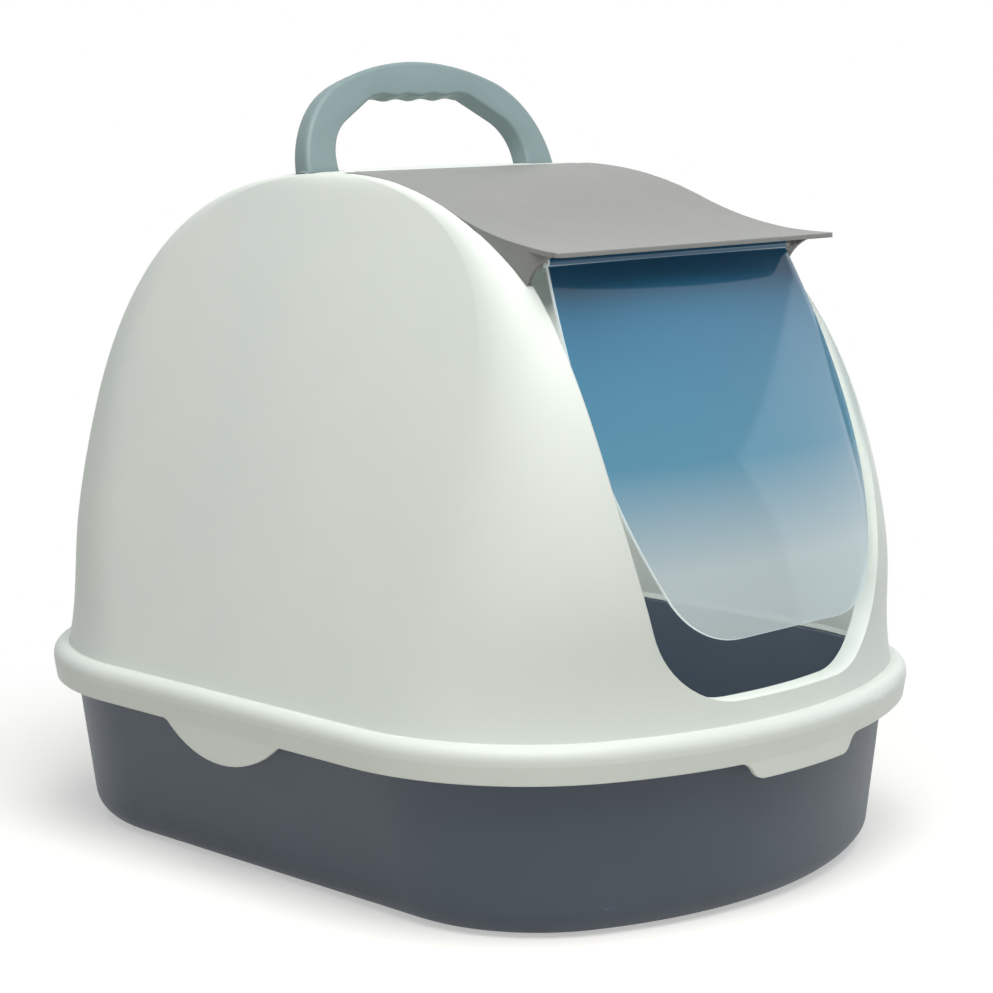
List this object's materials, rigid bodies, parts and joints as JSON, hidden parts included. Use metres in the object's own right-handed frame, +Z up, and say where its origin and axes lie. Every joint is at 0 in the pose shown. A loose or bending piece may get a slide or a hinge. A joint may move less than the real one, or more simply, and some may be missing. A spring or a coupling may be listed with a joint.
{
  "type": "hooded litter box",
  "caption": "Hooded litter box: a domed hood with a swinging clear door, flip-up visor and carrying handle, lifting off an open tray.",
  "frame": {"origin": "on the floor, midway between the sides and midway between the front and the rear", "axes": "+Z up, the doorway faces -Y, +X to the right of someone looking at the doorway"},
  "size_m": [0.392, 0.5, 0.4457],
  "materials": {
    "tray_plastic": "satin moulded",
    "hood_plastic": "satin moulded",
    "visor_plastic": "satin moulded",
    "door_plastic": "clear, tinted",
    "handle_plastic": "satin moulded",
    "pin_plastic": "smooth moulded"
  },
  "bodies": {
    "tray": {"litter_tray": "tray_plastic"},
    "hood": {"hood_shell": "hood_plastic", "visor_hinge_pin_left": "pin_plastic", "visor_hinge_pin_right": "pin_plastic", "handle_pivot_pin_left": "pin_plastic", "handle_pivot_pin_right": "pin_plastic"},
    "visor": {"visor_cover": "visor_plastic", "door_hinge_pin_left": "pin_plastic", "door_hinge_pin_right": "pin_plastic"},
    "door": {"door_flap": "door_plastic"},
    "handle": {"carry_handle": "handle_plastic"}
  },
  "joints": [
    {"name": "hood_lift", "type": "slide", "parent": "tray", "child": "hood", "axis": [0, 0, 1], "range_m": [0, 0.3]},
    {"name": "visor_flip", "type": "hinge", "parent": "hood", "child": "visor", "pos_m": [0, 0.004, 0.383], "axis": [-1, 0, 0], "range_deg": [0, 95]},
    {"name": "door_swing", "type": "hinge", "parent": "visor", "child": "door", "pos_m": [0, -0.149, 0.3445], "axis": [-1, 0, 0], "range_deg": [-50, 60]},
    {"name": "handle_swing", "type": "hinge", "parent": "hood", "child": "handle", "pos_m": [0, 0.034, 0.379], "axis": [1, 0, 0], "range_deg": [0, 33]}
  ]
}
